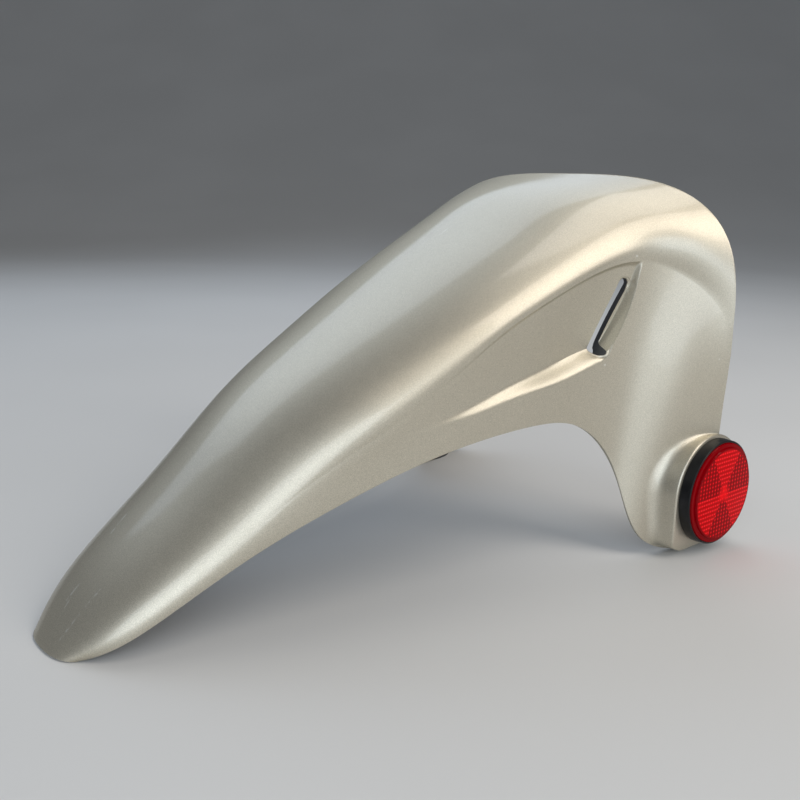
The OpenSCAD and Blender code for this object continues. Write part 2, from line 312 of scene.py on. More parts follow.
STATIONS = lines(
    (0, 0.5, 0.05), (0.5, 7, 0.083), (7, 7.58, 0.04), (7.58, 7.68, 0.0083),
    (7.68, 8.4, 0.045), (8.4, 9.6, 0.06), (9.6, 10, 0.05),
)
ARCH = lines((0, 0.8, 0.026), (0.8, 1, 0.02))
DOWN = lines(
    (0, 0.06, 0.012), (0.06, 0.8, 0.046), (0.8, 1, 0.025),
    (1, 1.2, 0.04), (1.2, 1.9, 0.06), (1.9, 2, 0.05),
)[1:]
HALF = len(ARCH) - 1 + len(DOWN)
print("stations laid", len(STATIONS), "points across", 2 * HALF + 1)

# %% Points of a skin
FOOT_X, FOOT_R = 370, 14.0


def foot_corner(p, r=FOOT_R):
    """Rounds off the lower rear corner of a lobe."""
    x, y, z = p
    z = max(z, 0.0)
    u, v = (x - (FOOT_X - r)) / r, (r - z) / r
    if u > 0 and v > 0:
        u, v = min(u, 1.0), min(v, 1.0)
        x = FOOT_X - r + r * u * math.sqrt(1 - v * v / 2)
        z = r - r * v * math.sqrt(1 - u * u / 2)
    return (x, y, z)


def skin_points(lip, run):
    """Rows of points across the fender, one row a station, from the far edge to the near edge."""
    rows = []
    for s in STATIONS:
        half = [Vector(arch(s, a)) for a in ARCH]
        half += [Vector(scooped(s, c, lip, run)) for c in DOWN]
        rows.append([Vector((p.x, -p.y, p.z)) for p in reversed(half[1:])] + half)
    return rows


def inside_of(rows, depth):
    """The same points moved into the wall, at right angles to the surface."""
    out = []
    for i, row in enumerate(rows):
        up, down = rows[max(i - 1, 0)], rows[min(i + 1, len(rows) - 1)]
        moved = []
        for j, p in enumerate(row):
            n = (down[j] - up[j]).cross(row[min(j + 1, len(row) - 1)] - row[max(j - 1, 0)])
            moved.append(p + n.normalized() * depth)
        out.append(moved)
    return out


outer_rows = skin_points(OUTER_LIP, OUTER_RUN)
print("points on the outside", len(outer_rows) * len(outer_rows[0]))

# %% [markdown]
# A grid primitive has the right faces already, so only its vertices move. Building the faces by hand would
# give the same mesh with more to get wrong.

# %% Laid grids
INNER_LIP, INNER_RUN = SCOOP_END + 0.02, 0.4


def to_frame(p):
    """From millimetres behind the nose to metres in the frame."""
    return ((p[0] - HALF_LENGTH) / 1000, p[1] / 1000, p[2] / 1000)


def laid_grid(name, rows):
    """A grid primitive whose vertices are moved onto the rows of points."""
    n, m = len(rows), len(rows[0])
    bpy.ops.mesh.primitive_grid_add(x_subdivisions=n - 1, y_subdivisions=m - 1, size=2, location=(0, 0, 0))
    o = bpy.context.object
    o.name = o.data.name = name
    for v in o.data.vertices:
        i = round((v.co.x + 1) / 2 * (n - 1))
        j = round((v.co.y + 1) / 2 * (m - 1))
        v.co = to_frame(foot_corner(rows[i][j]))
    return o


paint = bpy.data.materials.new("champagne_paint")
bare = bpy.data.materials.new("bare_inside")
outside = laid_grid("fender_shell_skin", outer_rows)
outside.data.materials.append(paint)
inside = laid_grid("inside", inside_of(skin_points(INNER_LIP, INNER_RUN), WALL))
inside.data.materials.append(bare)
print("faces outside", len(outside.data.polygons), "inside", len(inside.data.polygons))


# %% [markdown]
# ## One closed wall
# The two grids become one mesh, and the gap between their borders is bridged all the way round. That rim is
# what a hand feels as the fender's edge, and it follows both skins without any measuring.

# %% Bridge the borders
def only(*objs):
    """Selects the given objects and nothing else."""
    bpy.ops.object.select_all(action="DESELECT")
    for o in objs:
        o.select_set(True)
    bpy.context.view_layer.objects.active = objs[0]


only(outside, inside)
bpy.ops.object.join()
shell = bpy.context.object
bpy.ops.object.mode_set(mode="EDIT")
bpy.ops.mesh.select_mode(type="EDGE")
bpy.ops.mesh.select_all(action="DESELECT")
bpy.ops.mesh.select_non_manifold()
bpy.ops.mesh.bridge_edge_loops()
bpy.ops.mesh.select_all(action="SELECT")
bpy.ops.mesh.normals_make_consistent(inside=False)
bpy.ops.object.mode_set(mode="OBJECT")
grid_quads = 2 * (len(STATIONS) - 1) * 2 * HALF
print("shell faces", len(shell.data.polygons), "of which rim", len(shell.data.polygons) - grid_quads)

# %% [markdown]
# A moulded edge is never sharp, and its rounding catches a thin line of light. A bevel on the rim's two
# borders gives it. Rim faces come last in the mesh, and a border edge is one that only one of them uses.

# %% Rounded rim
RIM_ROUND = 0.0009

bpy.ops.object.mode_set(mode="EDIT")
bpy.ops.mesh.select_all(action="DESELECT")
bpy.ops.object.mode_set(mode="OBJECT")
uses = {}
for rim_face in shell.data.polygons[grid_quads:]:
    rim_face.material_index = 0
    for key in rim_face.edge_keys:
        uses[key] = uses.get(key, 0) + 1
for e in shell.data.edges:
    e.select = uses.get(e.key, 0) == 1
bpy.ops.object.mode_set(mode="EDIT")
bpy.ops.mesh.bevel(offset=RIM_ROUND, segments=3, profile=0.5, affect="EDGES", clamp_overlap=True)
bpy.ops.object.mode_set(mode="OBJECT")
print("after bevel", len(shell.data.polygons))

# %% [markdown]
# ## Outline of the boss
# Each lobe carries a boss with a flat seat for the reflector. It is round behind and above, straight in
# front, and cut off at its toe. An arc and three straight stretches give that outline, and a few passes of
# averaging take the points off its corners.

# %% Boss outline
SEAT_Y, SEAT_R = 120.0, 33.8
REFLECTOR = (358.0, 37.0)
TOE_Z, TOE_X = 0.88, 0.72


def outline(r, n=96):
    """The boss's outline round the reflector's axis: n points on the arc and 24 on the straights."""
    corners = [(-r, 0), (-r, -TOE_Z * r), (-TOE_X * r, -r), (0, -r)]
    points = []
    for i in range(n):
        t = math.pi * (1.5 * i / n) - math.pi / 2
        points.append((r * math.cos(t), r * math.sin(t)))
    for (ax, az), (bx, bz) in zip(corners, corners[1:]):
        points += [(ax + (bx - ax) * q / 8, az + (bz - az) * q / 8) for q in range(8)]
    for _ in range(3):
        m = len(points)
        moved = list(points)
        for i in range(n, m):
            a, b, c = points[i - 1], points[i], points[(i + 1) % m]
            moved[i] = ((a[0] + 2 * b[0] + c[0]) / 4, (a[1] + 2 * b[1] + c[1]) / 4)
        points = moved
    return points


def directions(points):
    """The way outwards at each point of an outline."""
    out = []
    for i in range(len(points)):
        a, b = points[i - 1], points[(i + 1) % len(points)]
        out.append(Vector((b[1] - a[1], a[0] - b[0])).normalized())
    return out


print("points round the boss", len(outline(SEAT_R)))


# %% [markdown]
# ## Rings of points
# The boss, the slot and the towers are all stacks of rings with a cap at each end. A cylinder primitive has
# straight sides, and these have to follow a curved wall. So one helper closes any stack of rings, and makes
# the mirrored twin for the other side at once.

# %% Closed mesh
def closed(name, mesh):
    """An object of a closed mesh, with its faces turned outwards."""
    o = bpy.data.objects.new(name, mesh)
    bpy.context.collection.objects.link(o)
    only(o)
    bpy.ops.object.mode_set(mode="EDIT")
    bpy.ops.mesh.select_all(action="SELECT")
    bpy.ops.mesh.normals_make_consistent(inside=False)
    bpy.ops.object.mode_set(mode="OBJECT")
    print(name, "faces", len(mesh.polygons))
    return o


# %% Ring stacks
def stack_faces(first, stack, n):
    """The four-sided faces between rings of n vertices, where vertex first begins the stack."""
    faces = []
    for i in range(stack - 1):
        for j in range(n):
            a, b = first + i * n + j, first + i * n + (j + 1) % n
            faces.append((a, b, b + n, a + n))
    return faces


def ring_stack(name, rings, finish, deep=None, deep_from=99):
    """A closed mesh through rings of points, on the left and mirrored on the right.

    From ring deep_from on, its wall takes the finish deep.
    """
    n = len(rings[0])
    verts, faces, slots = [], [], []
    for flip in (1, -1):
        first = len(verts)
        last = first + (len(rings) - 1) * n
        verts += [to_frame((x, y * flip, z)) for ring in rings for x, y, z in ring]
        faces += stack_faces(first, len(rings), n)
        slots += [int(i >= deep_from) for i in range(len(rings) - 1) for _ in range(n)]
        for ring, base in ((rings[0], first), (rings[-1], last)):
            c = [sum(p[k] for p in ring) / n for k in range(3)]
            verts.append(to_frame((c[0], c[1] * flip, c[2])))
            faces += [(base + j, base + (j + 1) % n, len(verts) - 1) for j in range(n)]
            slots += [0] * n
    mesh = bpy.data.meshes.new(name)
    mesh.from_pydata(verts, [], faces)
    mesh.materials.append(finish)
    if deep:
        mesh.materials.append(deep)
        mesh.polygons.foreach_set("material_index", slots)
    return closed(name, mesh)


# %% [markdown]
# ## Boss
# The boss grows out of the lobe's wall with a soft hollow curve, as moulded plastic does, and ends in a crisp
# seat. A bevel after the join could round that corner, but it fails on a join with a curved wall. So each
# ring's points are worked out from the wall's own height: down the flank, and out along a curve to the wall.

# %% Flank of the boss
SEAT_ROUND = ((1.1, 0), (0.7, 0.12), (0.32, 0.38), (0.1, 0.75), (0, 1.15))
ROUND_DEPTH = SEAT_ROUND[-1][1]
FREE_DEPTH = 7.0
SPREAD, TOE_SPREAD, SPREAD_SHARE = 5.5, 0.3, 0.45
DRAFT, DRAFT_DEPTH = 1.4, 17
FLUSH = 0.06
STRAIGHT, CURVED = 5, 6
FLANK_RINGS = STRAIGHT + CURVED + 2


def bezier(a, b, c, t):
    """A quadratic curve from a to c that leaves and arrives in line with b."""
    return (1 - t) ** 2 * a + 2 * t * (1 - t) * b + t * t * c


def free_flank(x, z):
    """Places at a point of the outline that stands clear of the wall, behind the lobe's rear edge."""
    run = FREE_DEPTH - ROUND_DEPTH
    return [(x, -SEAT_Y + ROUND_DEPTH + run * min(1.0, (k + 1) / 10), z) for k in range(FLANK_RINGS)]


def flank(p, d):
    """Places from the seat's edge down to the wall and into it, at one point of the outline."""
    x, z = REFLECTOR[0] + p[0], REFLECTOR[1] + p[1]
    y_wall = wall_at(x, max(z, 3.0))
    if y_wall is None or y_wall + SEAT_Y < 0.4:
        return free_flank(x, z)
    depth = y_wall + SEAT_Y
    spread = min(SPREAD, SPREAD_SHARE * depth)
    if d.y < -0.05:
        spread = min(spread, TOE_SPREAD + (SPREAD - TOE_SPREAD) * (1 + d.y))
    draft = DRAFT * depth / DRAFT_DEPTH * (1 + min(0, d.y))
    reach = spread + draft
    y_out = wall_at(x + d.x * reach, max(z + d.y * reach, 1.0))
    y_out = y_wall if y_out is None else y_out
    fall = depth - spread
    foot = draft * fall / max(depth, 1)
    places = []
    for k in range(STRAIGHT):
        t = (k + 1) / STRAIGHT
        y = -SEAT_Y + max(ROUND_DEPTH, fall) * t + ROUND_DEPTH * (1 - t)
        places.append((x + d.x * foot * t, y, z + d.y * foot * t))
    for k in range(CURVED):
        t = (k + 1) / CURVED
        o = bezier(foot, draft, reach, t)
        places.append((x + d.x * o, bezier(-SEAT_Y + fall, y_wall, y_out + FLUSH, t), z + d.y * o))
    places.append((x + d.x * spread * 0.8, y_out + 1.5, z + d.y * spread * 0.8))
    places.append((x - d.x, y_wall + 2.0, z - d.y))
    return places


print("flank's last place in front", [round(v, 1) for v in flank((-SEAT_R, 0), Vector((-1, 0)))[-1]])


# %% Boss and its hollow
def boss_rings():
    """The seat, its rounded edge and the flank, ring by ring from the outside inwards."""
    flat = outline(SEAT_R)
    away = directions(flat)
    rings = [[(REFLECTOR[0] + p[0] * 0.8, -SEAT_Y, REFLECTOR[1] + p[1] * 0.8) for p in flat]]
    for inset, y in SEAT_ROUND:
        rings.append([
            (REFLECTOR[0] + p[0] - d.x * inset, -SEAT_Y + y, REFLECTOR[1] + p[1] - d.y * inset)
            for p, d in zip(flat, away)
        ])
    flanks = [flank(p, d) for p, d in zip(flat, away)]
    return rings + [list(ring) for ring in zip(*flanks)]


def hollow_rings():
    """The boss is hollow behind its seat, so that its wall is as thick as the rest."""
    flat = outline(SEAT_R - WALL)
    return [[(REFLECTOR[0] + p[0], y, REFLECTOR[1] + p[1]) for p in flat] for y in (-SEAT_Y + WALL, -80.0)]


boss = ring_stack("boss", boss_rings(), paint)
hollow = ring_stack("hollow", hollow_rings(), bare)

# %% [markdown]
# ## Air slot
# Air leaves the scoop through a narrow slot in its floor, just in front of the rear lip. A plain box would
# cut a hard edge into the paint. So the cutter follows the floor and is wider at its top, which leaves the
# slot's outer rim rounded. Its deeper wall is dark bare plastic, because paint hardly gets in there, and that
# dark also stands for the shade inside the slot, so that it reads as a dark gap.

# %% Slot cutter
SLOT_ENDS = ((0.12, 0.13), (0.51, 0.07))
SLOT_HALF = 2.9
SLOT_PROFILE = ((1.5, -6), (1.4, -0.9), (0.95, -0.02), (0.45, 0.12), (0.12, 0.45), (0, 1.0), (0, 16))
# From this ring on the cutter's wall is dark bare plastic, which also paints the shade inside the slot.
BARE_AND_SHADE_FROM = 5


def slot_end(share, ahead):
    """The middle of one end of the slot, a share down the side and some stations before the lip."""
    s = SCOOP_END - ahead
    x, y, z = scooped(s, share / ridge(s))
    return x, z


def slot_rings():
    """Rings round a slot with half-round ends, each a little inside the one before."""
    top, bottom = [slot_end(*end) for end in SLOT_ENDS]
    length = math.hypot(bottom[0] - top[0], bottom[1] - top[1])
    ux, uz = (bottom[0] - top[0]) / length, (bottom[1] - top[1]) / length
    rings = [[] for _ in SLOT_PROFILE]
    n = 20
    for end, sign in ((top, -1), (bottom, 1)):
        for k in range(n):
            t = math.pi * k / (n - 1)
            dx = sign * (math.sin(t) * ux) + sign * math.cos(t) * -uz
            dz = sign * (math.sin(t) * uz) + sign * math.cos(t) * ux
            x0, z0 = end[0] + dx * SLOT_HALF, end[1] + dz * SLOT_HALF
            floor_y = wall_at(x0, z0)
            for ring, (o, y) in zip(rings, SLOT_PROFILE):
                ring.append((x0 + dx * o, floor_y + y, z0 + dz * o))
    return rings


slot_cutter = ring_stack("slot_cutter", slot_rings(), paint, deep=bare, deep_from=BARE_AND_SHADE_FROM)

# %% [markdown]
# ## Fixing towers
# The fork's bolts hold the fender at towers inside its lobes. A cylinder would stop short of the curved wall
# on one side, so each tower's outer end is laid on the wall, half way through it, and spreads a little.

# %% Towers
TOWERS = [(0.46, 9.35), (0.22, 9.35)]
TOWER_H = 12.0
TOWER_R, TOWER_ROUND, TOWER_FLARE = 8.0, 0.6, 0.7
ROUND_POINTS = 40


def tower_ring(place, r, depth, on_wall):
    """A ring round one tower's axis, at a depth from its mouth, or laid on the wall."""
    x, y, z = place
    ring = []
    for a in range(ROUND_POINTS):
        turn = 2 * math.pi * a / ROUND_POINTS
        px, pz = x + r * math.cos(turn), z + r * math.sin(turn)
        py = y + WALL + TOWER_H - depth
        if on_wall:
            w = wall_at(px, pz)
            py = (y if w is None else w) + WALL / 2
        ring.append((px, py, pz))
    return ring


tower_places = [plain_side(s - lean(s, h), h) for h, s in TOWERS]
tower_stacks = []
for place in tower_places:
    mouth = tower_ring(place, TOWER_R - TOWER_ROUND, 0.0, False)
    shoulder = tower_ring(place, TOWER_R, TOWER_ROUND, False)
    foot = tower_ring(place, TOWER_R + TOWER_FLARE, TOWER_H, True)
    tower_stacks.append(ring_stack("towers", [mouth, shoulder, foot], bare))
only(*tower_stacks)
bpy.ops.object.join()
towers = bpy.context.object

# %% [markdown]
# ## Round holes
# Each tower takes a brass insert, and each seat has a hole for the reflector's stud. A plain hole needs no
# rings: a cylinder primitive laid along Y is the right cutter, and it starts a little outside the plastic.

# %% Round holes
TOWER_HOLE_R, TOWER_HOLE_H = 4.6, 9.0
STUD_HOLE_R, STUD_HOLE_H = 3, 8
OVERCUT = 1


def rods(x, z, r, y_from, y_to):
    """A round cutter along Y on the left, and its twin on the right."""
    pair = []
    for flip in (1, -1):
        bpy.ops.object.select_all(action="DESELECT")
        bpy.ops.mesh.primitive_cylinder_add(
            vertices=ROUND_POINTS,
            radius=r / 1000,
            depth=(y_to - y_from) / 1000,
            location=to_frame((x, flip * (y_from + y_to) / 2, z)),
            rotation=(math.pi / 2, 0, 0),
        )
        pair.append(bpy.context.object)
    return pair


def joined(name, objs):
    """One bare object of several, with its place in its mesh."""
    only(*objs)
    bpy.ops.object.join()
    bpy.ops.object.transform_apply(location=True, rotation=True, scale=True)
    o = bpy.context.object
    o.name = name
    o.data.materials.append(bare)
    print(name, "faces", len(o.data.polygons))
    return o


tower_rods = []
for x, y, z in tower_places:
    mouth_y = y + WALL + TOWER_H
    tower_rods += rods(x, z, TOWER_HOLE_R, mouth_y - TOWER_HOLE_H, mouth_y + OVERCUT)
tower_holes = joined("tower_holes", tower_rods)
stud_holes = joined("stud_holes", rods(*REFLECTOR, STUD_HOLE_R, -SEAT_Y - OVERCUT, -SEAT_Y + STUD_HOLE_H))

# %% [markdown]
# ## Joining and cutting
# On the real part all of this comes out of one mould. Boolean modifiers make one mesh of it: the bosses and
# towers are added, and then the hollows, holes and slots are cut. The solver for closed meshes is quick here
# and hands each cut face the finish of its tool.

# %% Booleans
def boolean(target, tool, operation):
    """Adds or cuts the tool, applies it at once and throws the tool away."""
    mod = target.modifiers.new(tool.name, "BOOLEAN")
    mod.operation = operation
    mod.solver = "MANIFOLD"
    mod.object = tool
    mod.material_mode = "TRANSFER"
    only(target)
    before = len(target.data.polygons)
    bpy.ops.object.modifier_apply(modifier=mod.name)
    print(operation, tool.name, before, "->", len(target.data.polygons))
    bpy.data.objects.remove(tool, do_unlink=True)


for tool in (boss, towers):
    boolean(shell, tool, "UNION")
for tool in (hollow, tower_holes, stud_holes, slot_cutter):
    boolean(shell, tool, "DIFFERENCE")
only(shell)
bpy.ops.object.shade_smooth_by_angle(angle=math.radians(32))
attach(shell, "root")
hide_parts("fender_shell")

# %% [markdown]
# ## The reflectors
# A round reflector is a red lens pressed into a black base. Both could be cylinders with bevels, but a spun
# profile gives every step and rounding at once. Each profile is a list of radius and height over the seat,
# with its small roundings drawn in. One corner is extruded along it, and the line is spun round the axis.

# %% Reflectors
BASE = [
    (0, 3), (30.5, 3), (30.5, 6.7), (30.7, 6.93), (31.0, 7.0), (31.4, 6.9), (31.7, 6.6),
    (32, 1.0), (31.9, 0.3), (31.6, 0), (5.1, 0), (5.1, 1.8), (0, 1.8),
]
LENS = [
    (0, 3), (30.2, 3), (30.4, 3.2), (30.4, 7.5), (30.25, 7.85), (29.9, 8.0),
    (28.3, 8.0), (27.95, 8.15), (27.9, 9.2), (27.75, 9.5), (27.4, 9.6), (0, 9.6),
]


def revolve(name, profile, flip, n=96):
    """Spins a profile round the reflector's axis, on the left (flip 1) or on the right (flip -1)."""
    x0, z0 = REFLECTOR
    places = [Vector(to_frame((x0 + r, -(SEAT_Y + y) * flip, z0))) for r, y in profile]
    bpy.ops.object.select_all(action="DESELECT")
    bpy.ops.mesh.primitive_plane_add(size=0.001, location=(0, 0, 0))
    o = bpy.context.object
    o.name = o.data.name = name
    bpy.ops.object.mode_set(mode="EDIT")
    bpy.ops.mesh.select_mode(type="VERT")
    bpy.ops.mesh.select_all(action="SELECT")
    bpy.ops.mesh.merge(type="CENTER")
    bpy.ops.transform.translate(value=places[0])
    for a, b in zip(places, places[1:]):
        bpy.ops.mesh.extrude_region_move(TRANSFORM_OT_translate={"value": b - a})
    bpy.ops.mesh.select_all(action="SELECT")
    bpy.ops.mesh.spin(steps=n, angle=2 * math.pi, center=to_frame((x0, 0, z0)), axis=(0, 1, 0))
    bpy.ops.mesh.select_all(action="SELECT")
    bpy.ops.mesh.remove_doubles(threshold=0.000001)
    bpy.ops.mesh.normals_make_consistent(inside=False)
    bpy.ops.object.mode_set(mode="OBJECT")
    bpy.ops.object.shade_smooth_by_angle(angle=math.radians(35))
    print(name, "faces", len(o.data.polygons))
    return o


for flip, word in ((1, "left"), (-1, "right")):
    for kind, profile, material in (("base", BASE, "base_black"), ("lens", LENS, "lens_red")):
        o = revolve(f"{kind}_{word}_turned", profile, flip)
        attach(o, "root")
        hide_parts(f"reflector_{kind}_{word}")

# %% [markdown]
# ## Materials
# Every finish is one Principled shader fed by a few textures on Object coordinates, so it stays in place
# when the fender is turned or copied. Nodes could be placed by hand in the editor. Short calls keep each
# recipe readable instead: a place in space goes in, and a number or a colour comes out.


# %% Short calls for nodes
class Shader:
    """A material's main shader, and a call that feeds its sockets."""

    def __init__(self, material):
        self.material = bpy.data.materials.new(material) if isinstance(material, str) else material
        self.material.use_nodes = True
        self.nodes = self.material.node_tree.nodes
        self.shader = self.nodes["Principled BSDF"]
        self.place = self.nodes.new("ShaderNodeTexCoord").outputs["Object"]
        print("finish", self.material.name)

    def feed(self, socket, value):
        if isinstance(value, bpy.types.NodeSocket):
            self.material.node_tree.links.new(value, socket)
        elif isinstance(value, tuple) and socket.type == "RGBA":
            socket.default_value = (*value, 1)
        else:
            socket.default_value = value

    def set(self, **sockets):
        for name, value in sockets.items():
            self.feed(self.shader.inputs[name.replace("_", " ")], value)

    def fed(self, kind, *values):
        """A new node whose first sockets take the values."""
        node = self.nodes.new(kind)
        for socket, value in zip(node.inputs, values):
            self.feed(socket, value)
        return node


# %% [markdown]
# Numbers and places are worked on by Math and Vector Math nodes. A Map Range node then turns a number into a
# share between 0 and 1, and a Mix node turns the share into a colour between two others.

# %% Calls for numbers and colours
class Recipe(Shader):
    """Calls that work on numbers, places and colours."""

    def math(self, operation, *values):
        node = self.fed("ShaderNodeMath", *values)
        node.operation = operation
        return node.outputs[0]

    def vector(self, operation, *values):
        node = self.fed("ShaderNodeVectorMath", *values)
        node.operation = operation
        return node.outputs["Value" if operation in ("DOT_PRODUCT", "DISTANCE") else "Vector"]

    def span(self, value, low, high, out_low=0.0, out_high=1.0):
        """Maps low..high softly to out_low..out_high and holds the ends."""
        node = self.fed("ShaderNodeMapRange", value, low, high, out_low, out_high)
        node.interpolation_type = "SMOOTHSTEP"
        return node.outputs["Result"]

    def mix(self, share, a, b):
        node = self.nodes.new("ShaderNodeMix")
        node.data_type = "RGBA"
        self.feed(node.inputs["Factor"], share)
        self.feed(node.inputs[6], a)
        self.feed(node.inputs[7], b)
        return node.outputs[2]


# %% Calls for texture, wear and painted streaks
class Finish(Recipe):
    """Calls for noise, relief, scratches and painted reflection streaks."""

    def noise(self, scale, detail=2.0, at=None):
        node = self.nodes.new("ShaderNodeTexNoise")
        self.feed(node.inputs["Vector"], at or self.place)
        node.inputs["Scale"].default_value = scale
        node.inputs["Detail"].default_value = detail
        return node.outputs["Fac"]

    def bump(self, height, distance, strength=1.0):
        node = self.nodes.new("ShaderNodeBump")
        node.inputs["Distance"].default_value = distance
        node.inputs["Strength"].default_value = strength
        self.feed(node.inputs["Height"], height)
        return node.outputs["Normal"]

    def stroke(self, a, b, width):
        """1 on a thin straight line from a to b, and 0 beside it. Places are in metres."""
        a, b = Vector(a), Vector(b)
        reach = (b - a).length
        heading = (b - a) / reach
        way = self.vector("SUBTRACT", self.place, tuple(a))
        run = self.vector("DOT_PRODUCT", way, tuple(heading))
        held = self.math("MINIMUM", self.math("MAXIMUM", run, 0.0), reach)
        scaled = self.vector("SCALE", tuple(heading))
        self.feed(scaled.node.inputs["Scale"], held)
        away = self.vector("DISTANCE", way, scaled)
        return self.span(away, width * 0.4, width, 1.0, 0.0)


# %% [markdown]
# ## Champagne metallic paint
# Metallic paint is aluminium flakes in a tinted film, under clear coat. A plain metal would be too hard, and
# a plain colour would have no glow on the crown. So the film is a dull metal whose flakes are a fine random
# brightness and tilt, and the clear coat is the shader's own coat. Scratches and chips catch the light as
# thin pale marks. Three pale lines along the crown are painted reflection streaks, of edges mirrored in the
# coat. Each line is its two ends and its width in metres, and each chip is a place.

# %% Wear marks and painted reflection streaks
# The first three lines, along the crown on the far side, are painted reflection streaks; the others are
# scratches.
STREAKS_AND_SCRATCHES = [
    ((-0.005, 0.017, 0.147), (0.03, 0.019, 0.1655), 0.0004),
    ((0.045, 0.022, 0.1725), (0.085, 0.024, 0.1935), 0.0005),
    ((0.06, 0.016, 0.182), (0.127, 0.02, 0.2122), 0.0004),
    ((-0.19, -0.0106, 0.007), (-0.1707, -0.0123, 0.0269), 0.0009),
    ((-0.1536, 0.0152, 0.041), (-0.1414, 0.0182, 0.0505), 0.0009),
    ((-0.1804, 0.0045, 0.0182), (-0.1736, 0.0049, 0.0249), 0.0009),
    ((-0.1864, 0.0, 0.011), (-0.179, 0.003, 0.0195), 0.0008),
]
CHIPS = [
    (0.0983, -0.0851, 0.1147), (0.1287, -0.1134, 0.0418),
    (0.114, -0.0894, 0.1755), (0.1581, -0.1198, 0.1172),
]


def wear_and_streaks(f):
    """1 on scratches, chips and painted reflection streaks, and 0 elsewhere."""
    marks = f.stroke(*STREAKS_AND_SCRATCHES[0])
    for pale_line in STREAKS_AND_SCRATCHES[1:]:
        marks = f.math("MAXIMUM", marks, f.stroke(*pale_line))
    wear_and_streak_mask = f.math("MULTIPLY", marks, f.span(f.noise(300, 2), 0.4, 0.6))
    for chip in CHIPS:
        near = f.vector("DISTANCE", f.place, chip)
        wear_and_streak_mask = f.math("MAXIMUM", wear_and_streak_mask, f.span(near, 0.0004, 0.0009, 1.0, 0.0))
    return wear_and_streak_mask


print("scratches", len(STREAKS_AND_SCRATCHES), "chips", len(CHIPS))

# %% Paint
DARK_FLAKE, LIGHT_FLAKE, CLOUD = (0.5, 0.462, 0.37), (0.65, 0.6, 0.49), (0.58, 0.55, 0.47)
PALE_WEAR_AND_STREAKS = (0.86, 0.85, 0.8)

f = Finish(paint)
flakes = f.noise(2600, 1)
film = f.mix(f.span(flakes, 0.3, 0.7), DARK_FLAKE, LIGHT_FLAKE)
film = f.mix(f.span(f.noise(9, 2), 0.35, 0.65, 0.0, 0.05), film, CLOUD)
# Pale marks where the paint is scratched or chipped, and painted reflection streaks along the crown.
f.set(
    Base_Color=f.mix(f.math("MULTIPLY", wear_and_streaks(f), 0.6), film, PALE_WEAR_AND_STREAKS),
    Metallic=0.85,
    Roughness=f.span(f.noise(150, 3), 0.3, 0.7, 0.44, 0.465),
    Specular_Tint=(0.6, 0.58, 0.52),
    Coat_Weight=0.6,
    Coat_Roughness=0.1,
    Normal=f.bump(flakes, 0.00002, 0.22),
)

# %% [markdown]
# ## Bare inside and black base
# The inside is left as it comes out of the mould: dark and finely grained. The reflector's base is a
# smoother black moulding, which rubs grey here and there. Both are one shader with a grain that drives the
# gloss and a faint relief, because a flat black looks like a hole.

# %% Bare plastic
f = Finish(bare)
grain = f.noise(900, 3)
f.set(
    Base_Color=f.mix(f.span(f.noise(25, 3), 0.35, 0.65), (0.03, 0.03, 0.032), (0.05, 0.05, 0.05)),
    Roughness=f.span(grain, 0.3, 0.7, 0.5, 0.68),
    Normal=f.bump(grain, 0.00005, 0.4),
)

# %% Black base
f = Finish("base_black")
grain = f.noise(1400, 2)
rubbed = f.span(f.noise(120, 3), 0.5, 0.75, 0.0, 0.35)
f.set(
    Base_Color=f.mix(rubbed, (0.006, 0.006, 0.007), (0.03, 0.03, 0.031)),
    Roughness=f.span(grain, 0.3, 0.7, 0.3, 0.42),
    Specular_IOR_Level=0.3,
    Normal=f.bump(grain, 0.00003, 0.3),
)
for word in ("left", "right"):
    bpy.data.objects[f"base_{word}_turned"].data.materials.append(f.material)


# %% [markdown]
# ## Steel and brass
# The stud, washer and nut are zinc-plated steel, and the inserts in the towers are brass. Their solids have
# the right shape already, so they stay and only get a finish. Fine stretched noise stands for tool marks.

# %% Steel and brass
def turned_metal(name, colour, dull):
    f = Finish(name)
    lathe = f.noise(1500, 1, f.vector("MULTIPLY", f.place, (1, 6, 1)))
    f.set(
        Base_Color=f.mix(f.span(f.noise(200, 3), 0.4, 0.7), colour, dull),
        Metallic=1.0,
        Roughness=f.span(lathe, 0.3, 0.7, 0.25, 0.42),
        Normal=f.bump(lathe, 0.00002, 0.3),
    )
    return f.material


steel = turned_metal("zinc_steel", (0.62, 0.63, 0.65), (0.48, 0.49, 0.5))
brass = turned_metal("turned_brass", (0.74, 0.55, 0.24), (0.55, 0.39, 0.16))
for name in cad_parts:
    if name.startswith(("reflector_stud", "reflector_washer", "reflector_nut", "fixing_insert")):
        kept = bpy.data.objects[name]
        kept.data.materials.clear()
        kept.data.materials.append(brass if name.startswith("fixing") else steel)
        print(name, "in", kept.data.materials[0].name)

# %% [markdown]
# ## Red lens
# Behind the lens's clear face lie rows of tiny prisms in six sectors, which point in turns across and down.
# Thousands of real prisms would be slow and too fine to see. So the angle round the lens picks the sector,
# and rows of dots are a repeating ramp on one coordinate times another on the other. The dots give a faint
# relief, and in the colour they are painted glints: lighter dots, and sectors of rows painted brighter than
# sectors of columns, as the prisms catch the light.

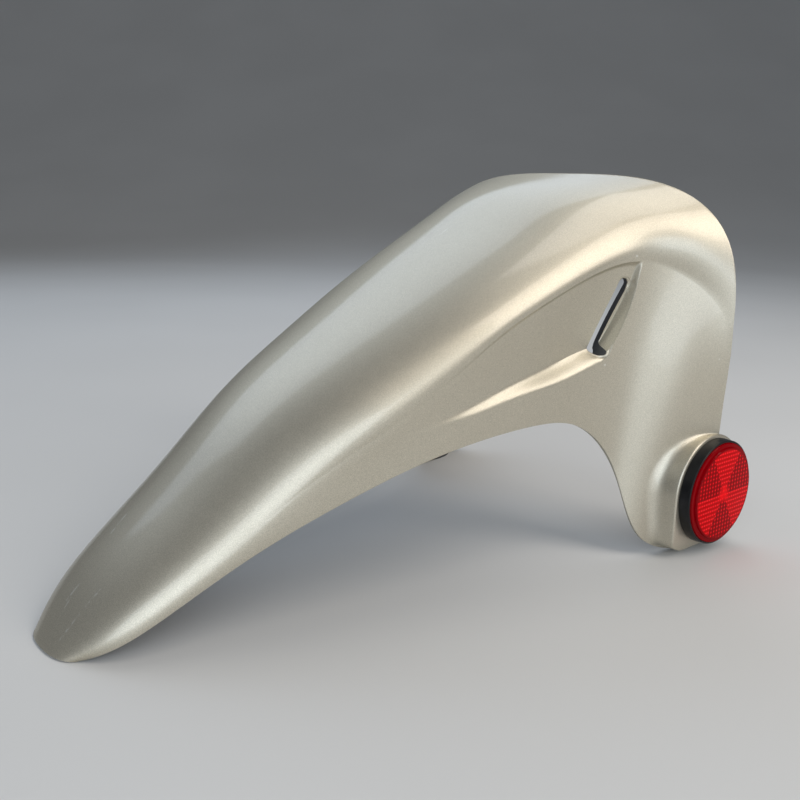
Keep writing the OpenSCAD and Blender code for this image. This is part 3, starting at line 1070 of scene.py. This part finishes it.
# %% Place on the lens
f = Finish("prism_red")
axis = ((REFLECTOR[0] - HALF_LENGTH) / 1000, 0.0, REFLECTOR[1] / 1000)
seen = f.fed("ShaderNodeSeparateXYZ", f.vector("SUBTRACT", f.place, axis))
across_lens, up_lens = seen.outputs["X"], seen.outputs["Z"]
turn = f.math("ARCTAN2", up_lens, across_lens)
sector = f.math("FLOOR", f.math("DIVIDE", f.math("ADD", turn, 2 * math.pi), math.pi / 3))
lying = f.math("MODULO", sector, 2.0)
squares = [f.math("MULTIPLY", v, v) for v in (across_lens, up_lens)]
radius = f.math("SQRT", f.math("ADD", *squares))
DISC_EDGE = (0.0266, 0.0272)
on_disc = f.span(radius, *DISC_EDGE, 1.0, 0.0)
print("lens axis", [round(v, 4) for v in axis])


# %% Rows of prisms
def ridges(value, pitch, share):
    """Thin lines across a coordinate, one each pitch, for the prisms' relief and their painted glints."""
    saw = f.math("FRACT", f.math("ADD", f.math("DIVIDE", value, pitch), 100.25))
    tent = f.math("ABSOLUTE", f.math("SUBTRACT", saw, 0.5))
    return f.span(tent, 0.5 - share, 0.5)


DOT_PITCH, ROW_PITCH, COLUMN_PITCH = 0.0024, 0.0026, 0.003
dots_across = f.span(ridges(across_lens, DOT_PITCH, 0.4), 0, 1, 0.35, 1.0)
dots_up = f.span(ridges(up_lens, DOT_PITCH, 0.4), 0, 1, 0.15, 1.0)
rows_lit = f.math("MULTIPLY", ridges(up_lens, ROW_PITCH, 0.36), dots_across)
columns_lit = f.math("MULTIPLY", ridges(across_lens, COLUMN_PITCH, 0.4), dots_up)
relief = f.math("MAXIMUM", f.math("MULTIPLY", rows_lit, lying), columns_lit)
print("rows over the lens", round(2 * DISC_EDGE[1] / ROW_PITCH))

# %% Red lens
RIM_RED, CENTRE_HIGHLIGHT_RED = (0.2, 0.0, 0.002), (0.95, 0.002, 0.005)

# Painted glints and shade: dots brighter than the gaps, and sectors of rows brighter than sectors of columns.
rows_glint_colour = f.mix(rows_lit, (0.42, 0.0, 0.001), (1.0, 0.012, 0.02))
columns_glint_colour = f.mix(columns_lit, (0.2, 0.0, 0.001), (0.85, 0.004, 0.01))
prism_glints = f.mix(lying, columns_glint_colour, rows_glint_colour)
# Painted highlight: the lens's middle is painted a bright red, where the prisms catch the light.
centre_highlight = f.span(radius, 0.002, 0.007, 1.0, 0.0)
prism_glints = f.mix(f.math("MULTIPLY", centre_highlight, 0.6), prism_glints, CENTRE_HIGHLIGHT_RED)
lens_red_and_glints = f.mix(on_disc, RIM_RED, prism_glints)
f.set(
    Base_Color=lens_red_and_glints,
    Roughness=0.3,
    Specular_IOR_Level=0.0,
    Coat_Weight=0.2,
    Coat_Roughness=0.04,
    # A painted glow: the lens gives off a little of its own red light, though it is no lamp.
    Emission_Color=lens_red_and_glints,
    Emission_Strength=0.1,
    Normal=f.bump(f.math("MULTIPLY", on_disc, relief), 0.0002, 0.3),
)
for word in ("left", "right"):
    bpy.data.objects[f"lens_{word}_turned"].data.materials.append(f.material)
print("lenses finished")

# %% [markdown]
# ## Floor
# The floor runs back and then sweeps up, as a photographer's paper does, so that no line shows behind the
# fender. A plane's rear edge is extruded in small steps along an arc, which needs no curve or array.

# %% Floor
HEADING = math.radians(40)
FLOOR_SIZE, FLOOR_BACK = 8, 1.1
SWEEP_R, SWEEP_STEPS = 3.5, 40
WALL_H = 2

bpy.ops.mesh.primitive_plane_add(size=FLOOR_SIZE, location=(0, FLOOR_BACK - FLOOR_SIZE / 2, 0))
floor = bpy.context.object
floor.name = "floor"
bpy.ops.object.mode_set(mode="EDIT")
bpy.ops.mesh.select_mode(type="VERT")
bpy.ops.mesh.select_all(action="DESELECT")
bpy.ops.object.mode_set(mode="OBJECT")
for v in floor.data.vertices:
    v.select = v.co.y > 0
bpy.ops.object.mode_set(mode="EDIT")
bpy.ops.mesh.select_mode(type="EDGE")
for k in range(SWEEP_STEPS):
    t0, t1 = math.pi / 2 * k / SWEEP_STEPS, math.pi / 2 * (k + 1) / SWEEP_STEPS
    step = (0, SWEEP_R * (math.sin(t1) - math.sin(t0)), SWEEP_R * (math.cos(t0) - math.cos(t1)))
    bpy.ops.mesh.extrude_region_move(TRANSFORM_OT_translate={"value": step})
bpy.ops.mesh.extrude_region_move(TRANSFORM_OT_translate={"value": (0, 0, WALL_H)})
bpy.ops.object.mode_set(mode="OBJECT")
bpy.ops.object.shade_smooth()
floor.rotation_euler = (0, 0, -HEADING)
print("floor faces", len(floor.data.polygons))

# %% Paper
f = Finish("floor_paper")
paper = f.mix(f.span(f.noise(2, 2), 0.3, 0.7), (0.62, 0.62, 0.61), (0.65, 0.65, 0.64))
f.set(Base_Color=paper, Roughness=0.95)
floor.data.materials.append(f.material)

# %% [markdown]
# ## Light
# Metallic paint shows its form by what it mirrors. Small lamps would give hard spots, so four wide soft ones
# stand where the real light came from: a warm one in front on the right, a cool sky behind and on the left,
# and a weak one overhead. A faint even world keeps the shadows open.

# %% Lamps
MIDDLE = (0, 0, 0.1)

world = bpy.data.worlds.new("studio")
bpy.context.scene.world = world
world.use_nodes = True
world.node_tree.nodes["Background"].inputs["Color"].default_value = (0.8, 0.84, 0.9, 1)
world.node_tree.nodes["Background"].inputs["Strength"].default_value = 0.18


def soft_lamp(name, place, size, power, colour):
    """A rectangular lamp of some metres by some metres that faces the fender's middle."""
    data = bpy.data.lights.new(name, "AREA")
    data.shape = "RECTANGLE"
    data.size, data.size_y = size
    data.energy = power
    data.color = colour
    o = bpy.data.objects.new(name, data)
    bpy.context.collection.objects.link(o)
    o.location = place
    o.rotation_euler = (Vector(MIDDLE) - Vector(place)).to_track_quat("-Z", "Y").to_euler()
    print(name, power, "W")


soft_lamp("warm_front", (0.42, -0.95, 1.15), (0.7, 1.6), 12, (1, 0.93, 0.85))
soft_lamp("overhead", (0.64, 0.17, 1.4), (0.7, 0.7), 3.5, (1, 0.97, 0.93))
soft_lamp("left_front", (-1.0, -1.3, 0.62), (2.0, 1.2), 18, (0.8, 0.89, 1))
soft_lamp("sky_behind", (0.31, 1.22, 1.2), (2.3, 0.8), 9, (0.74, 0.85, 1))

# %% [markdown]
# ## Camera
# The camera stands where the photograph was taken from: ahead on the left, a little above the fender and
# looking down. It could aim at an empty with a constraint, but a matrix also carries its slight roll.

# %% Camera
CAMERA_MM = (-121.45, -400.8, 216)
FOCAL_PIXELS, FRAME_PIXELS, SENSOR = 917.4, 800, 36
PITCH, ROLL = math.radians(13.7), math.radians(-1.15)

camera_data = bpy.data.cameras.new("camera")
camera_data.sensor_width = SENSOR
camera_data.lens = FOCAL_PIXELS / FRAME_PIXELS * SENSOR
camera_data.clip_start = 0.01
camera = bpy.data.objects.new("camera", camera_data)
bpy.context.collection.objects.link(camera)
level = math.cos(PITCH)
look = Vector((math.sin(HEADING) * level, math.cos(HEADING) * level, -math.sin(PITCH)))
right = Vector((math.cos(HEADING), -math.sin(HEADING), 0))
up = right.cross(look)
rolled_right = math.cos(ROLL) * right - math.sin(ROLL) * up
rolled_up = math.sin(ROLL) * right + math.cos(ROLL) * up
turned = Matrix((rolled_right, rolled_up, -look)).transposed().to_4x4()
camera.matrix_world = Matrix.Translation(to_frame(CAMERA_MM)) @ turned
bpy.context.scene.camera = camera
bpy.context.scene.view_settings.view_transform = "Standard"
print("camera at", [round(v, 3) for v in camera.matrix_world.translation], "lens", round(camera_data.lens, 1))
